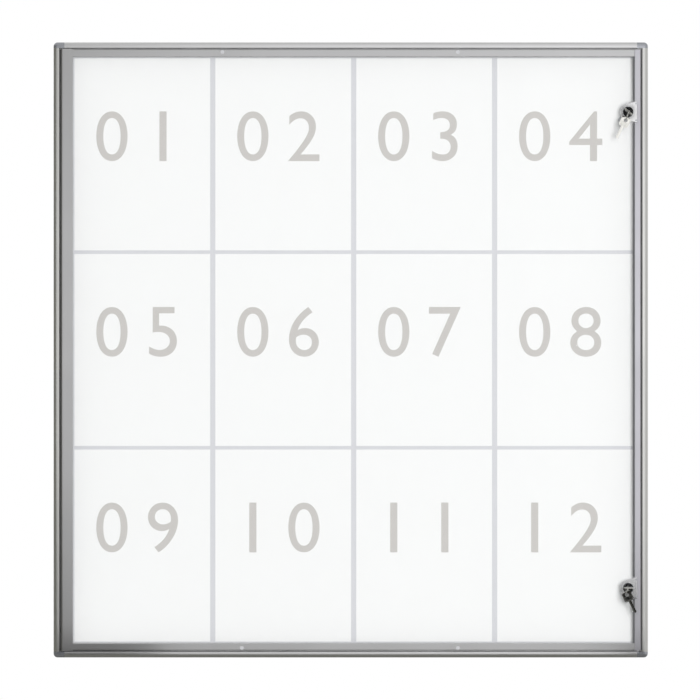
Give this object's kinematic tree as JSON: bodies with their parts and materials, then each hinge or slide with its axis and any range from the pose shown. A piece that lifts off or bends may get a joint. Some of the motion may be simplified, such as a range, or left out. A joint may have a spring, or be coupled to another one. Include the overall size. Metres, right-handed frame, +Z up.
{
  "type": "notice board display case",
  "caption": "Slim wall-hung display case with an aluminium frame, moulded corner caps, a glazed door hinged on the left and cam locks with keys, holding rows of A4 notices.",
  "frame": {"origin": "centre of the four wall-screw holes, on the plane of the wall", "axes": "+X right as seen from the front, +Y into the wall, +Z up"},
  "size_m": [0.918, 0.0575, 0.95],
  "materials": {
    "aluminium": "satin anodised",
    "cap_plastic": "moulded grey",
    "lacquered_steel": "pale lacquer",
    "hardboard": "plain board",
    "nylon": "natural white",
    "black_rubber": "matt",
    "wedge_rubber": "dark grey, matt",
    "steel": "zinc plated",
    "paper": "white, matt",
    "clear_glass": "clear",
    "die_cast": "satin die-cast zinc",
    "lock_steel": "plated",
    "chrome": "polished",
    "nickel": "nickel plated"
  },
  "bodies": {
    "case": {"frame_top": "aluminium", "frame_bottom": "aluminium", "frame_left": "aluminium", "frame_right": "aluminium", "corner_cap_top_left": "cap_plastic", "corner_cap_top_right": "cap_plastic", "corner_cap_bottom_left": "cap_plastic", "corner_cap_bottom_right": "cap_plastic", "cap_screws": "steel", "back_sheet": "lacquered_steel", "backing_board": "hardboard", "wall_sleeves": "nylon", "seal_hinge_side": "black_rubber", "seal_lock_side": "black_rubber", "hinge_pin_top": "steel", "hinge_pin_bottom": "steel", "notice_sheets": "paper"},
    "door": {"hinge_stile": "aluminium", "lock_stile": "aluminium", "top_rail": "aluminium", "bottom_rail": "aluminium", "hinge_bush_top": "nylon", "hinge_bush_bottom": "nylon", "glazing_wedge": "wedge_rubber", "top_stiffener": "steel", "bottom_stiffener": "steel", "rail_screws": "steel", "corner_keys": "steel", "corner_key_screws": "steel", "pane": "clear_glass", "upper_lock_housing": "die_cast", "lower_lock_housing": "die_cast", "upper_lock_screws": "lock_steel", "upper_lock_nut": "lock_steel", "lower_lock_screws": "lock_steel", "lower_lock_nut": "lock_steel", "upper_lock_rosette": "chrome", "lower_lock_rosette": "chrome"},
    "upper_plug": {"upper_plug": "chrome", "upper_cam": "lock_steel", "upper_cam_screw": "lock_steel"},
    "upper_key": {"upper_key": "nickel"},
    "upper_key_ring": {"upper_key_ring": "nickel"},
    "upper_spare_key": {"upper_spare_key": "nickel"},
    "lower_plug": {"lower_plug": "chrome", "lower_cam": "lock_steel", "lower_cam_screw": "lock_steel"},
    "lower_key": {"lower_key": "nickel"},
    "lower_key_ring": {"lower_key_ring": "nickel"},
    "lower_spare_key": {"lower_spare_key": "nickel"}
  },
  "joints": [
    {"name": "door_swing", "type": "hinge", "parent": "case", "child": "door", "pos_m": [-0.4395, -0.0235, 0], "axis": [0, 0, -1], "range_deg": [0, 110]},
    {"name": "upper_plug_turn", "type": "hinge", "parent": "door", "child": "upper_plug", "pos_m": [0.4283, -0.0315, 0.3675], "axis": [0, -1, 0], "range_deg": [-50, 130]},
    {"name": "upper_key_pull", "type": "slide", "parent": "upper_plug", "child": "upper_key", "axis": [0, -1, 0], "range_m": [0, 0.021]},
    {"name": "upper_ring_swing", "type": "hinge", "parent": "upper_key", "child": "upper_key_ring", "pos_m": [0.42955, -0.04985, 0.36899], "axis": [0, 1, 0], "range_deg": [-2, 42]},
    {"name": "upper_spare_swing", "type": "hinge", "parent": "upper_key_ring", "child": "upper_spare_key", "pos_m": [0.42383, -0.04985, 0.35401], "axis": [0, 1, 0], "range_deg": [-57, 30]},
    {"name": "lower_plug_turn", "type": "hinge", "parent": "door", "child": "lower_plug", "pos_m": [0.4283, -0.0315, -0.3675], "axis": [0, -1, 0], "range_deg": [-90, 90]},
    {"name": "lower_key_pull", "type": "slide", "parent": "lower_plug", "child": "lower_key", "axis": [0, -1, 0], "range_m": [0, 0.021]},
    {"name": "lower_ring_swing", "type": "hinge", "parent": "lower_key", "child": "lower_key_ring", "pos_m": [0.4283, -0.04985, -0.36555], "axis": [0, 1, 0], "range_deg": [-28, 2]},
    {"name": "lower_spare_swing", "type": "hinge", "parent": "lower_key_ring", "child": "lower_spare_key", "pos_m": [0.42564, -0.04985, -0.37717], "axis": [0, 1, 0], "range_deg": [-30, 56]}
  ]
}
